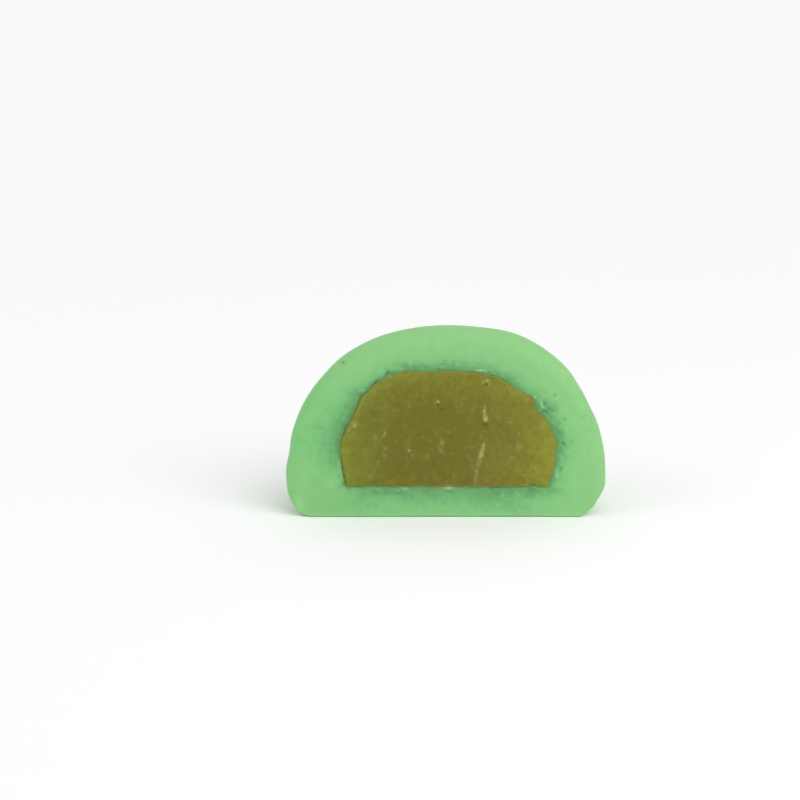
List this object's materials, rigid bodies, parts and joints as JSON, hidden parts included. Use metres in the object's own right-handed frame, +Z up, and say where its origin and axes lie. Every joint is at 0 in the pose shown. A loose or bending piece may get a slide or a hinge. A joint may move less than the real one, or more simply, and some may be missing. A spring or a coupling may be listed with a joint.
{
  "type": "halved mochi rice cake",
  "caption": "Half of a green mochi, cut down the middle: a thick soft rice skin round a dome of olive paste, standing on its flat base with the cut face forward.",
  "frame": {"origin": "on the flat base, below the middle of the half's bounding box", "axes": "+Z up, -Y out of the cut face, +X to the right as the cut face is looked at"},
  "size_m": [0.045, 0.0226, 0.0267],
  "materials": {
    "rice_skin": "soft, satin, slightly translucent green rice dough, darker and moister next to the paste",
    "paste": "dense, fine-grained olive-brown paste, matt, with knife drag marks on the cut"
  },
  "bodies": {
    "root": {"skin": "rice_skin", "filling": "paste"}
  },
  "joints": []
}
